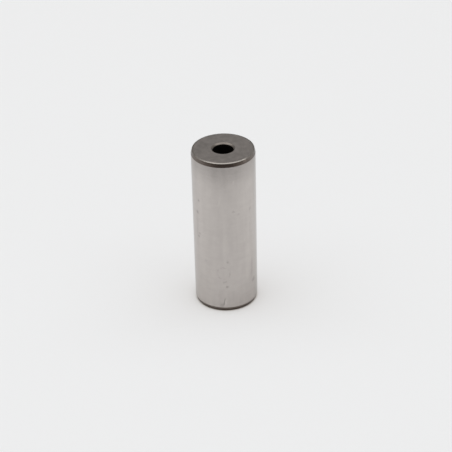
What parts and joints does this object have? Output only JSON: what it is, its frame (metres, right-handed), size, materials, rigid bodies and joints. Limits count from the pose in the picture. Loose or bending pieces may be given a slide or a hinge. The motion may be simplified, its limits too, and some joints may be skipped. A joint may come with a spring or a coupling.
{
  "type": "crank pin",
  "caption": "Plain cylindrical crank pin with a lead-in taper at each end and a bore along its axis, for a pressed-up crankshaft.",
  "frame": {"origin": "centre of the lower end face, on the pin's axis, at the surface that it stands on", "axes": "+Z along the pin's axis, from the lower end face to the upper one; X and Y are alike because the pin is round"},
  "size_m": [0.022, 0.022, 0.0595],
  "materials": {
    "ground_steel": "satin ground side, finely turned end faces, darker lead-in tapers"
  },
  "bodies": {
    "root": {"crank_pin": "ground_steel"}
  },
  "joints": []
}
